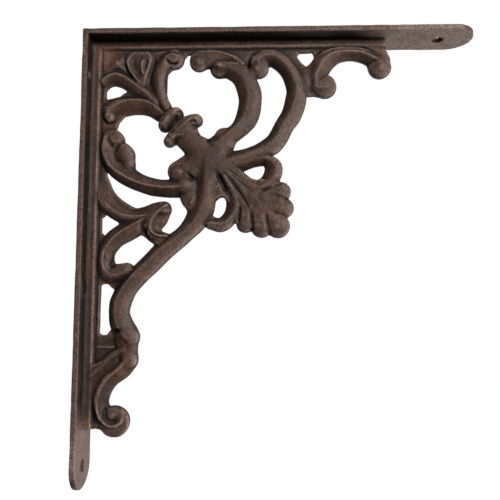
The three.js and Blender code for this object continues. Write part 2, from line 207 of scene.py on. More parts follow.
class Grid:
    """A flat grid of points with a signed distance in from the outline and a relief over it."""

    def __init__(self, u_from, u_to, v_from, v_to, step):
        self.step = step
        self.us = np.arange(u_from, u_to + step, step)
        self.vs = np.arange(v_from, v_to + step, step)
        self.u, self.v = np.meshgrid(self.us, self.vs)
        self.inside = np.full(self.u.shape, FAR_OUTSIDE)
        self.relief = np.full(self.u.shape, NO_IRON)
        # Lines painted lighter, as scuffed iron and painted highlights
        self.scuff_and_sheen = np.zeros(self.u.shape)

    def window(self, u_low, u_high, v_low, v_high):
        column, last_column = np.searchsorted(self.us, [u_low, u_high])
        row, last_row = np.searchsorted(self.vs, [v_low, v_high])
        return slice(max(row - 1, 0), last_row + 1), slice(max(column - 1, 0), last_column + 1)

    def stroke(self, points, reach=3.5):
        """Each point's gap in from a stroke's edge, and its place across, past an end and along."""
        run = smooth_run(points)
        gap = np.full(self.u.shape, FAR_OUTSIDE)
        across = np.zeros(self.u.shape)
        beyond = np.zeros(self.u.shape)
        along = np.zeros(self.u.shape)
        lengths = np.linalg.norm(np.diff(run[:, :2], axis=0), axis=1)
        travelled = np.concatenate([[0], np.cumsum(lengths)])
        for i in range(len(run) - 1):
            (au, av, aw), (bu, bv, bw) = run[i], run[i + 1]
            pad = max(aw, bw) + reach
            win = self.window(min(au, bu) - pad, max(au, bu) + pad, min(av, bv) - pad, max(av, bv) + pad)
            pu, pv = self.u[win] - au, self.v[win] - av
            du, dv = bu - au, bv - av
            length = max(lengths[i], SHORTEST)
            t_free = (pu * du + pv * dv) / length ** 2
            t = unit(t_free)
            half = np.maximum(aw + t * (bw - aw), THINNEST)
            here = half - np.hypot(pu - t * du, pv - t * dv)
            better = here > gap[win]
            side = (pu * dv - pv * du) / length
            at_end = i in (0, len(run) - 2)
            past = np.abs(t_free - t) * length / half if at_end else 0.0
            where = (travelled[i] + t * length) / travelled[-1]
            for field, value in ((gap, here), (across, side / half), (beyond, past), (along, where)):
                field[win] = np.where(better, value, field[win])
        return gap, across, beyond, along

    def add(self, gap, height, blend=BLEND):
        self.relief = smooth_max(self.relief, height, blend)
        self.inside = smooth_max(self.inside, gap, FILLET)

    def limb(self, points, depth, crest=(0, 0), left=ROUND, right=ROUND, edge=EDGE_DEPTH, blend=BLEND):
        """A limb with a crest that lies off its middle by a share of its half width."""
        gap, across, beyond, along = self.stroke(points)
        depths = np.atleast_1d(depth)
        peak = np.interp(along, np.linspace(0, 1, len(depths)), depths)
        offset = np.interp(along, np.linspace(0, 1, len(crest)), crest)
        over = across > offset
        v = np.where(over, (across - offset) / (1 - offset), (offset - across) / (1 + offset))
        v = unit(np.sqrt(v ** 2 + beyond ** 2))
        share = np.where(over, profile(v, right), profile(v, left))
        height = edge + (peak - edge) * share
        self.add(gap, np.where(gap < 0, edge + FALL_OUTSIDE * gap, height), blend)

    def ball(self, u, v, radius, depth, power=0.5, blend=BLEND):
        distance = np.hypot(self.u - u, self.v - v)
        gap = radius - distance
        share = unit(1 - (distance / radius) ** 2) ** power
        height = EDGE_DEPTH + (depth - EDGE_DEPTH) * share
        self.add(gap, np.where(gap < 0, EDGE_DEPTH + FALL_OUTSIDE * gap, height), blend)

    def plate(self, points, height=GROUND_DEPTH, hole=None):
        gap = polygon_gap(self.u, self.v, points)
        if hole:
            gap = np.minimum(gap, -polygon_gap(self.u, self.v, hole))
        self.add(gap, np.where(gap < -1, NO_IRON, height), PLATE_BLEND)

    def ridge(self, points, height, width, taper=0.2):
        """A soft ridge along a line, lower over a share of its length at both ends."""
        gap, _, _, along = self.stroke([(u, v, 0.0) for u, v in points], reach=3 * width)
        ends = np.clip(np.minimum(along, 1 - along) / taper, LINE_LEAST_END, 1)
        self.relief = self.relief + height * ends * bell(gap, width)

    def groove(self, points, depth, width, taper=0.2):
        self.ridge(points, -depth, width, taper)

    def scuffed_and_highlit_edge(self, points, height=0.45, width=0.5, wear_and_sheen=1.0):
        """A thin ridge, painted lighter along it as scuffed iron and painted highlight."""
        self.ridge(points, height, width, RUB_AND_SHEEN_TAPER)
        gap, _, _, along = self.stroke([(u, v, 0.0) for u, v in points], RUB_AND_SHEEN_REACH)
        ends = unit(np.minimum(along, 1 - along) / RUB_AND_SHEEN_TAPER)
        self.scuff_and_sheen = np.maximum(self.scuff_and_sheen, wear_and_sheen * ends * bell(gap, RUB_AND_SHEEN_WIDTH))

    def dome(self, u, v, height, radius, radius_v=None, turn=0.0):
        """A soft bump, longer one way where a second radius is given, and turned by degrees."""
        cos, sin = math.cos(math.radians(turn)), math.sin(math.radians(turn))
        du, dv = self.u - u, self.v - v
        along = (du * cos + dv * sin) / radius
        side = (dv * cos - du * sin) / (radius_v or radius)
        self.relief = self.relief + height * np.exp(-(along ** 2 + side ** 2))

    def pit(self, u, v, depth, radius, radius_v=None, turn=0.0):
        self.dome(u, v, -depth, radius, radius_v, turn)


def blur(field, sigma, step):
    """A Gaussian blur of a grid, sigma in millimetres."""
    pad = int(4 * sigma / step) + 2
    padded = np.pad(field, pad, mode="edge")
    rows = np.fft.fftfreq(padded.shape[0], step)[:, None]
    columns = np.fft.rfftfreq(padded.shape[1], step)[None, :]
    spectrum = np.fft.rfft2(padded) * np.exp(-2 * (math.pi * sigma) ** 2 * (rows ** 2 + columns ** 2))
    return np.fft.irfft2(spectrum, padded.shape)[pad:-pad, pad:-pad]


def uneven(grid, waves):
    """Seeded noise over a grid, of the given height and grain size."""
    height, size = waves
    grain = blur(random.standard_normal(grid.u.shape), size / 2, grid.step)
    return height * ((grain - grain.mean()) / grain.std())


def from_outer_face(web):
    """How far each of the web's points lies in from the nearer leg's outer face."""
    return np.minimum(web.u, -web.v)


# The web's carving


def carve_beads(web):
    """A band along both legs, with a fillet beside the leg, a fine line and a step down at its edge."""
    outline = [(BEAD_START, -BEAD_START), (BEAD_END_X, -BEAD_START), (BEAD_END_X, -BEAD_OUTER),
               (BEAD_OUTER, -BEAD_OUTER), (BEAD_OUTER, BEAD_END_Z), (BEAD_START, BEAD_END_Z)]
    gap = polygon_gap(web.u, web.v, outline)
    from_outer = from_outer_face(web)
    from_leg = from_outer - LEG_THICKNESS
    height = BEAD_DEPTH + BEAD_FILLET * unit(1 - from_leg / BEAD_FILLET) ** BEAD_FILLET_POWER
    height -= BEAD_LINE_DEPTH * bell(from_leg - BEAD_LINE_FROM_LEG, BEAD_LINE_WIDTH)
    step = unit((from_outer - (BEAD_OUTER - BEAD_STEP_WIDTH)) / BEAD_STEP_WIDTH)
    height -= BEAD_STEP_FALL * step ** 2
    web.add(gap, np.where(gap < 0, height + FALL_OUTSIDE * gap, height), BEAD_BLEND)


def carve_grounds(web):
    web.plate([(3, -3), (60, -3), (60, -10.5), (57.5, -10.8), (54, -15), (46, -22), (45, -42), (36, -46),
        (28, -45), (21.5, -47), (18.5, -50.5), (17, -55), (13, -60), (13, -63), (3, -63)],
        hole=[(10.7, -32), (11.5, -30.3), (13.5, -29), (15.5, -28.5), (18, -29), (22, -30.5), (23, -31.8),
              (22.5, -33), (20.5, -34), (19.5, -35.3), (16, -36.2), (12, -37), (10.7, -36)])
    web.plate([(55, -3), (171, -3), (170.5, -8.5), (166, -12), (134, -15), (130.5, -13), (129, -10.1),
        (121.5, -10.1), (120, -12.5), (122.5, -16), (125.5, -18.6), (128.5, -17), (133, -20),
        (131, -34.7), (127, -36), (118, -30), (114, -20), (104, -12), (96, -18), (92, -26),
        (80, -18), (60, -11)])
    web.plate([(3, -55), (10, -56), (12, -79), (12.5, -82), (14, -90), (12, -104.8), (10.3, -106),
        (10.2, -114), (12, -116), (20, -137), (20, -147), (17, -145), (15, -142.9), (12, -142.9),
        (10.6, -143.8), (10.4, -170), (12, -171.3), (15, -171.2), (16.3, -169), (22, -167),
        (26, -172), (26, -186), (14, -200), (10, -208), (13, -222.3), (10, -221.8), (3, -222)])
    web.plate([(28, -106), (42, -103), (44, -113), (42, -120), (37, -118), (32, -115), (26, -114)])
    web.plate([(70, -78), (84, -76), (92, -84), (106, -86), (112, -88), (112, -98), (108, -112),
        (92, -110), (86, -108), (84, -98), (80, -94), (74, -94), (71, -100)], 3.0)
    from_bead = from_outer_face(web) - BEAD_OUTER
    web.relief -= BEAD_GROOVE_DEPTH * bell(from_bead - BEAD_GROOVE_OUT, BEAD_GROOVE_WIDTH)
    web.dome(125.5, -27.5, 2.2, 5.5, 7.5)
    web.dome(9, -12, 1.2, 4, 9)
    web.dome(16, -7.5, 0.9, 7, 2.5)


def carve_corner_scrolls(web):
    web.limb([(12.5, -47, 4), (14, -43.5, 5), (18, -41.3, 5.2), (23, -40.7, 5.2), (28, -40.8, 5),
        (33, -41.3, 4.7), (38, -43.5, 4), (43.5, -47.5, 3.4)],
        4.6, crest=(-0.1, -0.4, -0.55, -0.55), left=CLIFF, right=SOFT)
    web.scuffed_and_highlit_edge([(13, -44.5), (16, -42), (20, -40), (25, -38.7), (30, -38.4), (35, -39.4),
        (39.5, -41.9), (43.5, -45)])
    web.ball(13.5, -47.8, 3.2, 4.0, blend=0.6)
    web.groove([(10, -45.5), (10.2, -49.5), (13, -51.3), (16.6, -50)], 0.8, 0.7)
    web.limb([(9.5, -27.5, 3), (12.5, -25.3, 3.4), (16, -24.4, 3.9), (20, -25.6, 3.8), (24.5, -28.3, 4),
        (34, -34.5, 4.5), (40, -39.5, 4.5)],
        4.2, crest=(-0.4, -0.4, -0.2, 0), left=CLIFF, right=SOFT)
    web.scuffed_and_highlit_edge([(9.3, -26.8), (12, -24.1), (15.5, -22.7), (19.5, -23.3), (23.5, -25.8), (28, -29),
        (33, -32.8)])
    web.groove([(12, -20.8), (16, -19.6), (21, -20.8), (26, -25)], 0.7, 0.9)
    web.plate([(27.5, -10.3), (34.5, -10.3), (36, -12.5), (35.8, -16), (34.8, -20), (33, -25),
        (31.8, -30), (27.5, -25), (23.8, -19.5), (22.9, -15.5), (23.6, -12.8), (25.3, -11)], 2.5)
    web.scuffed_and_highlit_edge([(31.5, -29), (27.3, -24.3), (23.9, -19), (23.3, -15), (25.5, -11.2)], 0.9, 0.6, 0.5)
    web.groove([(26.5, -13), (27, -18), (30.5, -25)], 0.5, 1.3)
    web.ridge([(33, -24), (31.3, -19), (31.6, -15.5), (33.3, -13.3)], 1.0, 0.8)
    web.ridge([(33, -24.5), (35.3, -19), (36, -14.5), (34.5, -12.5)], 1.1, 0.7)
    web.groove([(33.3, -22), (33.4, -16)], 0.3, 0.7)
    web.groove([(21.3, -10.5), (21, -16), (23, -20.5), (28.5, -27)], 0.8, 0.9)
    web.groove([(38.8, -12), (37.5, -19), (36, -25), (35.5, -30)], 1.3, 1.0)
    web.limb([(46, -44, 3.8), (42.5, -37, 4), (41.3, -30, 4), (41.3, -24, 4.2), (43, -18.5, 4.2),
        (46, -14.5, 4.5), (49.5, -13, 4.6)], 4.4, crest=(0.0, 0.1, -0.1), left=SLOPE, right=TABLE)
    web.ball(50, -13.8, 5.4, 3.7, blend=1.5)
    web.groove([(45.6, -14.3), (47.5, -16.6), (50.5, -17), (52.5, -15.4)], 1.5, 0.75)
    web.scuffed_and_highlit_edge([(44.2, -14), (46.5, -12.2), (50, -11.8), (53, -13)], 0.6, 0.7, 0.4)
    web.ridge([(38, -10.8), (43, -9.4), (48, -8.8), (54, -9.2)], 0.7, 0.6)
    web.dome(16.5, -16.3, 1.1, 3.2, 2.2, 35)
    web.scuffed_and_highlit_edge([(13.5, -13.5), (16.5, -15.5), (19.5, -19)], 0.3, 0.8, 0.35)


def carve_knot(web):
    web.limb([(45, -52.6, 3.8), (48, -48.5, 5), (51.5, -46.2, 4.2)],
        6.0, blend=0.4, left=ROUND, right=CLIFF)
    web.limb([(47.8, -61.9, 3.3), (51.5, -58, 4.2), (55.5, -54, 5), (59.5, -50.8, 4.2), (63, -49.7, 3.7)],
        5.7, blend=0.8)
    web.limb([(55.7, -56.3, 8.2), (60.5, -62.8, 6.8), (66, -68, 8.3), (73, -74, 10)],
        (4.8, 5.2, 5.7), left=TABLE, right=TABLE, blend=1.2)
    web.dome(47.3, -51, 0.6, 2.2)
    web.groove([(52.8, -46.5), (51, -51.5), (46, -57.5)], 1.4, 0.9)
    web.groove([(63.5, -52.5), (61.5, -51), (59, -52.5)], 1.0, 0.8)
    web.groove([(49, -58), (51.5, -56.2)], 0.9, 0.9)
    web.scuffed_and_highlit_edge([(48.5, -62), (52, -60), (57, -58.5)], 0.6, 0.8, 0.3)
    web.scuffed_and_highlit_edge([(54, -55.5), (58, -52), (62.5, -49)], 0.4, 0.9, 0.3)
    web.ball(54.2, -80, 6.8, 4.3, blend=2.2)
    web.ball(62, -78, 6.5, 4.8, blend=3.0)
    web.limb([(52.5, -79, 5.3), (58, -75.3, 5.3), (64, -72, 6)], 4.6, blend=2.0)
    web.ball(79, -59.8, 5.7, 4.4, blend=2.5)
    web.ball(80, -77, 7, 4.9, blend=2.5)
    web.groove([(69, -57.5), (70.5, -60.5), (70.6, -64)], 1.6, 1.1)
    web.groove([(49.5, -83), (49.5, -79), (53, -76.7), (57, -77.5)], 0.45, 0.8)
    web.dome(54.3, -80, 0.5, 2.2)


def carve_shelfward_scrolls(web):
    web.limb([(76.3, -19, 5.2), (81, -19.5, 5.1), (88.5, -23.5, 6.3), (93, -33, 6.7), (93.6, -40, 6.5),
        (91.8, -48.5, 6.3), (87.5, -54.8, 5), (82, -59.5, 5), (76, -66, 8)],
        (4.2, 5.2), crest=(0.0, 0.1, 0.3, 0.3), left=TABLE, right=CLIFF, blend=0.8)
    web.ball(76.3, -19, 5.4, 3.2, power=0.4, blend=0.8)
    web.dome(75.8, -18.3, 1.1, 1.9)
    web.groove([(71.5, -21), (71.4, -17.5), (73.8, -15), (78, -14.7), (83, -15.8)], 1.1, 0.8)
    web.scuffed_and_highlit_edge([(78, -17), (82.5, -16.9), (87.5, -17.6)], 0.5, 0.7, 0.6)
    web.ball(64.1, -15.8, 5.1, 3.2, power=0.4, blend=0.8)
    web.dome(63.8, -15.6, 0.8, 2.0)
    web.groove([(67, -18.8), (68.3, -15.5), (66.3, -12.6), (62.3, -12.2)], 0.5, 0.7)
    web.limb([(64, -14, 5), (70, -13.5, 5.2), (77, -12.5, 3.5), (84, -13.5, 2.5), (89, -17, 2)],
        3.2, crest=(-0.3, 0))
    web.scuffed_and_highlit_edge([(61, -10.4), (66, -9.4), (75, -10), (82, -12.3), (88, -15.5)], 0.6, 0.7, 0.3)
    web.limb([(98, -16, 5), (102, -13.6, 4.8), (106.5, -13.5, 4.6), (111, -16, 4.8), (115.5, -21, 4.7),
        (118.6, -27, 5.4), (120, -33, 5.7), (119.2, -40, 6.1), (117.2, -46.5, 5.8),
        (113.4, -52.6, 5.5), (107.3, -63, 5.5), (99.3, -68.2, 5.1), (91, -71.3, 5), (82, -74, 6)],
        5.2, crest=(-0.1, 0.0, 0.15, 0.15, 0.1), left=TABLE, right=CLIFF, blend=0.8)
    web.ball(98.5, -19.5, 5.7, 3.6, power=0.4, blend=2.5)
    web.groove([(98, -11), (94, -12.8), (92.4, -16.5), (93.5, -20.5)], 1.4, 1.1)
    web.dome(97.3, -20.5, 0.7, 1.4)


def carve_shelf_scroll(web):
    web.limb([(131, -31, 5), (131, -25.5, 5.5), (133, -20.5, 6), (136.3, -15.5, 5.8), (142, -12, 4.7),
        (150, -11.3, 3.6), (156.5, -12.2, 3.8), (162, -14.5, 4), (167.5, -19, 5.5)],
        4.6, crest=(0.0, -0.1, -0.25, -0.25, -0.1), left=SLOPE, right=CLIFF, blend=1.0)
    web.ridge([(131, -14), (134.5, -11), (142, -9), (152, -8.6), (160, -9.4), (165, -11.2)], 0.8, 0.7)
    web.groove([(133, -14), (140, -10.6), (150, -9.6), (160, -10.8), (165, -13.5)], 1.0, 0.7)
    web.scuffed_and_highlit_edge([(146, -11), (152, -11), (158, -12.3), (163.5, -15.3)], 0.25, 0.6, 0.5)
    web.limb([(158, -7.6, 0.6), (163, -8.8, 1.6), (168, -11.5, 3.3), (170, -15, 3.5)],
        (2.6, 3.0, 3.4), blend=1.6)
    web.ball(135.9, -30.3, 6.8, 4.2, blend=1.8)
    web.groove([(132.5, -28.5), (133.8, -25.8), (137, -24.8)], 0.45, 0.8)
    web.scuffed_and_highlit_edge([(131.5, -31.5), (135.5, -32), (139, -30.5)], 0.3, 1.0, 0.4)
    web.ball(167.2, -19.2, 6.5, 4.4, blend=1.5)
    web.groove([(161, -18.5), (162.8, -16.5), (165.5, -16.3)], 0.8, 0.8)
    web.dome(166.5, -21.2, 0.4, 2.5)


def carve_wallward_scroll(web):
    web.limb([(57, -88, 5.6), (50, -88.8, 5.3), (43, -88.6, 4.9), (36, -87.4, 5), (27.5, -83.6, 5.4),
        (21.2, -79, 6.2), (16.5, -73.2, 6.8), (14, -66, 6.5), (14.5, -61, 6)],
        5.0, crest=(0, 0, 0, -0.1, -0.3, -0.5, -0.55, -0.5), left=CLIFF, right=SLOPE)
    web.scuffed_and_highlit_edge([(12, -70), (13.8, -75), (17, -78.5), (21, -81), (27.5, -84.7), (35, -87.6),
        (44, -88.9), (54, -88.6)])
    web.ball(56.8, -87.5, 5.2, 5.0, blend=0.8)
    web.groove([(56.8, -79.6), (61, -83.2), (63.6, -87.6), (63.2, -92), (61.5, -96.5)], 1.5, 1.0)
    web.groove([(50.3, -80.5), (52, -78.4), (55, -78.5), (56.6, -80.6), (55.2, -83), (52.3, -82.6)],
        0.4, 0.8, taper=0.3)
    web.ball(15.5, -61.5, 6.6, 3.8, blend=0.8)
    web.groove([(13.3, -58.5), (13.8, -62), (17, -66.5)], 1.0, 0.8)
    web.scuffed_and_highlit_edge([(14.5, -60.5), (17.5, -62.3), (21, -61.5)], 0.5, 1.0, 0.3)
    web.groove([(20.5, -64.5), (17.8, -67), (18, -71.5), (20.5, -75)], 1.2, 0.9)
    web.ball(22.5, -69.6, 5.7, 4.2, blend=0.8)
    web.limb([(22, -66, 3.4), (24, -71, 4), (25, -75.5, 3.5)], 4.3, blend=2.0)
    web.limb([(60, -88, 5), (59.8, -94.3, 5.3), (61.3, -98.8, 4)], 3.6)
    web.scuffed_and_highlit_edge([(62.8, -93), (62, -96), (60, -99)], 0.6, 0.8, 0.4)


def carve_stem(web):
    web.limb([(69, -76, 10.5), (69, -84, 7.5), (68.3, -93, 6.5), (66.3, -101, 7.3), (63, -107.8, 6.2),
        (57.2, -114.6, 5.1), (51, -120, 5.4), (44.4, -125.2, 5.8), (37.9, -132, 5.7),
        (30.5, -139.3, 5.6), (25.3, -146, 5.4), (21.8, -153.5, 5.9), (21.5, -160, 5.8),
        (23.2, -166, 6.4), (26.5, -171.5, 6)],
        5.2, crest=(0, 0, 0, 0.15, 0.2, 0.25, 0.3, 0.3, 0.2), left=TABLE, right=CLIFF, blend=1.0)
    web.scuffed_and_highlit_edge([(62, -105), (55, -113), (46, -121), (36.5, -130.5), (28, -138.5), (22.5, -147),
        (20.3, -155)], 0.1, 0.5, 0.3)


def carve_wall_leaves(web):
    web.limb([(9.6, -86, 4.2), (11.8, -94.5, 6.1), (17, -99.8, 6.2), (23, -103.2, 5.8),
        (29.5, -104.7, 4.6), (35.5, -103.6, 4.4), (40.5, -101.5, 4.4), (45.3, -100.9, 4.2)],
        (2.0, 4.0, 4.2, 4.2, 4.2), crest=(0.5, 0.4, 0.3), left=SLOPE, right=CLIFF)
    web.scuffed_and_highlit_edge([(10.5, -95), (14, -99.2), (19.5, -103), (26, -105), (33, -104.9), (38, -103.4)])
    web.groove([(14, -89), (19.5, -97), (27, -101.3), (35, -101.2)], 0.5, 0.9)
    web.limb([(40, -104, 4), (32, -109, 5.3), (24.5, -113.8, 5.6), (18.3, -117.3, 5.5),
        (13.5, -124.5, 4.8), (12.8, -131, 5), (15, -136.5, 5.5), (20, -137, 5.3), (25, -135.5, 4.5)],
        4.4, crest=(0.2, 0.15, 0.1, 0.2, 0.3, 0.3, 0.2), left=TABLE, right=CLIFF)
    web.scuffed_and_highlit_edge([(36.5, -105.7), (29, -109.7), (21.5, -114), (16, -119.5), (12.8, -125), (12, -131),
        (14, -136), (18.5, -138), (22, -137)])
    web.scuffed_and_highlit_edge([(15.5, -122), (14.3, -127.5), (16.5, -130.5)], 0.3, 0.5, 0.5)
    web.limb([(45, -101, 4.3), (42.5, -106, 5.2), (40.2, -110.5, 4.2), (40, -115, 4.4), (45, -118.5, 4.5)],
        3.5, crest=(0.5, 0.7), left=SLOPE, right=CLIFF)
    web.limb([(46.5, -99.5, 2.2), (42.6, -102.8, 2.6), (39.8, -107, 2.8), (38.6, -111, 2.6),
        (40, -114.2, 2.1), (43.5, -115.9, 1.8), (47, -116, 1.6)],
        (4.6, 4.6, 4.4, 3.9), crest=(0.1, 0.2), left=SLOPE, right=SLOPE)
    web.scuffed_and_highlit_edge([(45, -100), (41.3, -103.6), (38.2, -108), (37.5, -112), (39.5, -115), (44, -116.4),
        (47, -115.6)])
    web.groove([(45.5, -104), (43, -108.5), (42.6, -112.5)], 0.3, 1.4)
    web.groove([(36.2, -106), (33.8, -110.5), (34.8, -114.5), (38.5, -118), (43, -119.8)], 1.5, 1.2)
    web.plate([(17.5, -104), (23, -105), (24, -112), (17.5, -112.5), (20.3, -109.2)])
    web.pit(17.5, -132, 1.8, 1.6, 2.4)


def carve_foot(web):
    web.ball(28.5, -172, 4.6, 4.4, blend=1.2)
    web.ball(27.3, -184, 5.3, 4.5, blend=1.2)
    web.limb([(26, -170, 6), (26, -176, 6), (26.5, -183, 5.5)], 3.6, blend=1.2)
    web.pit(25, -178.5, 0.8, 2.6, 1.3, 10)
    web.scuffed_and_highlit_edge([(9, -177.5), (20, -177.8)], 0.8, 0.6, 0.5)
    web.limb([(8, -192.8, 3.0), (14, -187.4, 3.3), (20, -182.3, 3.2), (25, -179.5, 3)],
        3.7, left=TABLE, right=SLOPE, blend=1.2)
    web.plate([(7, -189), (20, -183), (25, -186), (14, -198), (10, -204), (7, -204)], 3.0)
    web.limb([(27, -185.5, 5.2), (22.6, -191, 5), (17, -195.2, 5), (13.3, -201, 4.9), (11.8, -208, 4.8),
        (14, -215, 5)], 4.6, crest=(0.3, 0.35, 0.3, 0.2), left=SLOPE, right=SLOPE, blend=1.0)
    web.scuffed_and_highlit_edge([(28.5, -182), (23.5, -188.3), (16.5, -194.6), (12.5, -201), (11.3, -207.5)],
        0.3, 0.5, 0.7)
    web.groove([(24, -180.5), (22.8, -184), (24.5, -186)], 0.5, 1.3)
    web.ball(20.3, -217.9, 8.4, 3.6, power=0.3)
    web.scuffed_and_highlit_edge([(11.3, -207), (12, -213), (14.5, -217.6), (18.5, -220), (22.5, -219.3), (25, -216.3),
        (24.8, -213)], 1.3, 0.9, 0.5)
    web.groove([(16.3, -209.2), (15.4, -213), (17, -216.6), (20.5, -217.4), (22.4, -215)], 1.4, 0.9)
    web.groove([(17, -209.8), (21, -209.7), (25, -211)], 0.5, 0.8)
    web.dome(19.3, -214, 0.9, 1.9)
    web.pit(20.5, -169, 2.0, 1.3, 2.8, 100)


def carve_palmette(web):
    for u, v in ((74.6, -93.9), (81.3, -94.2), (72.3, -106.3)):
        web.ball(u, v, 1.7, 2.6)
    web.plate([(79, -79), (86, -82), (93, -87), (103, -90), (110, -93), (111, -100), (107, -107),
        (100, -108), (92, -106), (87.5, -102), (84, -92)], 3.5)
    web.dome(96, -95, 0.9, 11, 7, -45)
    root_u, root_v = 79, -80
    lobes = [(111, -91, 5.7), (112.7, -100.3, 5.6), (109.5, -110.3, 6.7), (100.3, -111, 5.8),
             (91.3, -108.7, 5.3)]
    for u, v, half in lobes:
        points = [(root_u + (u - root_u) * share, root_v + (v - root_v) * share, half * share)
                  for share in (0.7, 0.85, 1)]
        web.limb(points, (3.9, 4.6), edge=1.6, blend=2.4)
    web.limb([(84, -77, 5), (90, -75.5, 3.4), (97, -73.3, 3.2), (103, -73, 3.3), (107, -77, 4.9),
        (106.3, -82, 5), (102.8, -86, 4), (99, -88.2, 3.6), (94, -87.2, 3.6), (87, -82.5, 4)],
        4.2, crest=(0, -0.1, -0.15, -0.15, 0, 0), left=TABLE, right=CLIFF, blend=0.8)
    web.limb([(79, -83, 4.2), (83.8, -92, 4.2), (85, -99, 4.6), (83, -105, 4.3), (78, -109.5, 4.1),
        (72, -108.8, 3.6)], 4.3, crest=(-0.1, -0.15, -0.15, 0), left=TABLE, right=CLIFF, blend=0.6)
    web.scuffed_and_highlit_edge([(71.5, -108.6), (75.5, -109.2), (80, -108.5), (83.5, -104.5)], 0.4, 0.6, 0.7)
    web.groove([(75.5, -80.5), (78.5, -87), (80.8, -92)], 1.8, 1.2)
    web.groove([(78.5, -80), (85, -87.5), (90.5, -95.5), (94.5, -103)], 1.0, 0.55, taper=0.3)
    web.scuffed_and_highlit_edge([(81, -80.5), (87.5, -87), (92.5, -94.5)], 0.3, 0.7, 0.2)
    web.groove([(80, -78.3), (87, -82.5), (94, -88)], 0.7, 0.55, taper=0.35)
    web.groove([(81, -80), (88.5, -85.8), (96, -92.5)], 0.4, 0.5, taper=0.35)
    between_lobes = [((106, -93.5), (117.5, -95.5), 0.6), ((104, -102), (116, -105.7), 0.7),
                     ((102.5, -103), (104.7, -116), 1.0), ((94.5, -102), (95.5, -114.5), 1.3),
                     ((99.5, -91.3), (106, -88.8), 1.0), ((106, -88.8), (112.5, -86.3), 0.9),
                     ((88.6, -98), (87.3, -111), 1.5), ((103, -96.5), (112, -99.5), 0.3)]
    for start, end, depth in between_lobes:
        web.groove([start, end], depth, 0.9, taper=0.3)


def carved_web():
    """The web's grid, and its heights to the front and to the back of its middle plane."""
    web = Grid(WEB_FROM, WEB_TO_X, WEB_TO_Z, -WEB_FROM, WEB_STEP)
    for carve in (carve_grounds, carve_beads, carve_corner_scrolls, carve_knot, carve_shelfward_scrolls,
                  carve_shelf_scroll, carve_wallward_scroll, carve_stem, carve_wall_leaves, carve_foot,
                  carve_palmette):
        carve(web)
    web.relief = np.maximum(web.relief, LEAST_DEPTH)
    web.inside += uneven(web, OUTLINE_WAVES)
    web.inside = np.minimum(web.inside, from_outer_face(web) - BEAD_START)
    web.rim = RIM_HALF
    rounded_rim = RIM_HALF + RIM_RISE * np.sqrt(np.maximum(web.inside, 0) / RIM_WIDTH)
    front = web.relief + uneven(web, FRONT_WAVES) + uneven(web, FRONT_GRAIN)
    softened = blur(np.minimum(web.relief, BACK_HIGHEST), BACK_SOFTNESS, WEB_STEP)
    back = BACK_GROUND + BACK_SHARE * (softened - BACK_GROUND) + uneven(web, BACK_WAVES)
    return web, smooth_min(front, rounded_rim, RIM_BLEND), smooth_min(back, rounded_rim, RIM_BLEND)


# From grids to meshes


def cells_to_faces(ids, across_ids, upward_ids, solid, heights):
    """Triangles over the solid part of each grid cell, and the edges they leave on the outline."""
    corners = [ids[:-1, :-1], ids[:-1, 1:], ids[1:, 1:], ids[1:, :-1]]
    edges = [across_ids[:-1, :], upward_ids[:, 1:], across_ids[1:, :], upward_ids[:, :-1]]
    filled = [solid[:-1, :-1], solid[:-1, 1:], solid[1:, 1:], solid[1:, :-1]]
    pattern = sum(corner.astype(int) << k for k, corner in enumerate(filled))
    whole = 15
    faces, walls = [], []
    for wanted in range(1, whole + 1):
        cells = pattern == wanted
        if not cells.any():
            continue
        ring, leaving = [], []
        for k in range(4):
            this, following = (wanted >> k) & 1, (wanted >> ((k + 1) % 4)) & 1
            if this:
                ring.append(corners[k][cells])
            if this != following:
                if this:
                    leaving.append(len(ring))
                ring.append(edges[k][cells])
        if wanted == whole:
            a, b, c, d = ring
            flatter = np.abs(heights[a] - heights[c]) <= np.abs(heights[b] - heights[d])
            faces.append(np.stack([a, b, np.where(flatter, c, d)], 1))
            faces.append(np.stack([np.where(flatter, a, b), c, d], 1))
        else:
            for k in range(1, len(ring) - 1):
                faces.append(np.stack([ring[0], ring[k], ring[k + 1]], 1))
        for k in leaving:
            walls.append(np.stack([ring[k], ring[(k + 1) % len(ring)]], 1))
    return np.concatenate(faces), np.concatenate(walls)


